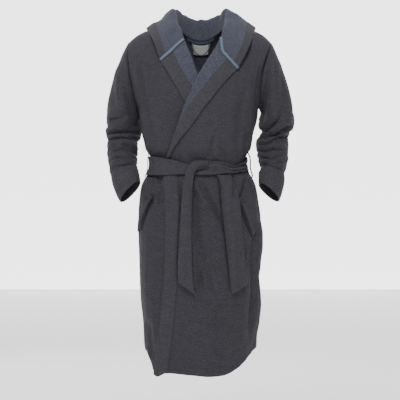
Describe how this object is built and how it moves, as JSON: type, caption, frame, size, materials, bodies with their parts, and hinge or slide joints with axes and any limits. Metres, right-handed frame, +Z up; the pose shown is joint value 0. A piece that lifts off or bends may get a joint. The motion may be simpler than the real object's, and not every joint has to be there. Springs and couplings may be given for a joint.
{
  "type": "hooded wrap bathrobe",
  "caption": "Long hooded wrap bathrobe in soft knitted cloth, worn shape, front edges banded and lapels turned out, with tied sash, slanted pockets and cuffed sleeves.",
  "frame": {"origin": "middle of the neck opening at the height of the shoulder seams' neck ends, where a wearer or a hanger holds the robe up", "axes": "+Z up, -Y the way the wearer faces, +X the wearer's left"},
  "size_m": [0.661, 0.3566, 1.2752],
  "materials": {
    "charcoal_knit": "soft charcoal melange knit, matt with a fine nap",
    "lining_melange": "lighter blue-grey looped inner face of the same cloth",
    "tape": "narrow woven teal-grey seam tape",
    "label": "blank woven label"
  },
  "bodies": {
    "robe": {"back_panel": "charcoal_knit", "front_panel_left": "charcoal_knit", "front_panel_right": "charcoal_knit", "front_band_left": "charcoal_knit", "front_band_right": "charcoal_knit", "lapel_left": "lining_melange", "lapel_right": "lining_melange", "lapel_band_left": "charcoal_knit", "lapel_band_right": "charcoal_knit", "hood_wing_left": "lining_melange", "hood_wing_right": "lining_melange", "hood_band_left": "charcoal_knit", "hood_band_right": "charcoal_knit", "pocket_bag_left": "charcoal_knit", "pocket_bag_right": "charcoal_knit", "pocket_welt_left": "charcoal_knit", "pocket_welt_right": "charcoal_knit", "belt_waist": "charcoal_knit", "belt_knot": "charcoal_knit", "belt_loop_left": "charcoal_knit", "belt_loop_right": "charcoal_knit", "neck_tape_left": "tape", "neck_tape_right": "tape", "neck_tape_back": "tape", "neck_label": "label", "care_label": "label"},
    "sleeve_left": {"sleeve_left_upper": "charcoal_knit", "sleeve_left_elbow": "charcoal_knit"},
    "sleeve_right": {"sleeve_right_upper": "charcoal_knit", "sleeve_right_elbow": "charcoal_knit"},
    "forearm_left": {"sleeve_left_forearm": "charcoal_knit", "cuff_left": "charcoal_knit"},
    "forearm_right": {"sleeve_right_forearm": "charcoal_knit", "cuff_right": "charcoal_knit"},
    "hood": {"hood_pouch": "charcoal_knit", "hood_band_pouch": "charcoal_knit"},
    "belt_end_left": {"belt_tail_left": "charcoal_knit"},
    "belt_end_right": {"belt_tail_right": "charcoal_knit"},
    "loop": {"hang_loop": "tape"}
  },
  "joints": [
    {"name": "left_sleeve_lift", "type": "hinge", "parent": "robe", "child": "sleeve_left", "pos_m": [0.2468, 0, -0.041], "axis": [0, -1, 0], "range_deg": [0, 80]},
    {"name": "right_sleeve_lift", "type": "hinge", "parent": "robe", "child": "sleeve_right", "pos_m": [-0.2468, 0, -0.041], "axis": [0, 1, 0], "range_deg": [0, 80]},
    {"name": "left_elbow_bend", "type": "hinge", "parent": "sleeve_left", "child": "forearm_left", "pos_m": [0.271, 0.064, -0.357], "axis": [-1, 0, 0], "range_deg": [-25, 34], "deforming": ["sleeve_left_elbow"]},
    {"name": "right_elbow_bend", "type": "hinge", "parent": "sleeve_right", "child": "forearm_right", "pos_m": [-0.271, 0.064, -0.357], "axis": [-1, 0, 0], "range_deg": [-25, 34], "deforming": ["sleeve_right_elbow"]},
    {"name": "hood_raise", "type": "hinge", "parent": "robe", "child": "hood", "pos_m": [0, 0.066, 0.004], "axis": [1, 0, 0], "range_deg": [0, 70], "deforming": ["hood_wing_left", "hood_wing_right", "hood_band_left", "hood_band_right"]},
    {"name": "left_belt_end_swing", "type": "hinge", "parent": "robe", "child": "belt_end_left", "pos_m": [0.075, -0.11247, -0.507], "axis": [-1, 0, 0], "range_deg": [0, 70]},
    {"name": "right_belt_end_swing", "type": "hinge", "parent": "robe", "child": "belt_end_right", "pos_m": [-0.036, -0.11864, -0.507], "axis": [-1, 0, 0], "range_deg": [0, 70]},
    {"name": "hang_loop_flip", "type": "hinge", "parent": "robe", "child": "loop", "pos_m": [0, 0.06014, -0.03943], "axis": [-1, 0, 0], "range_deg": [0, 110]}
  ]
}
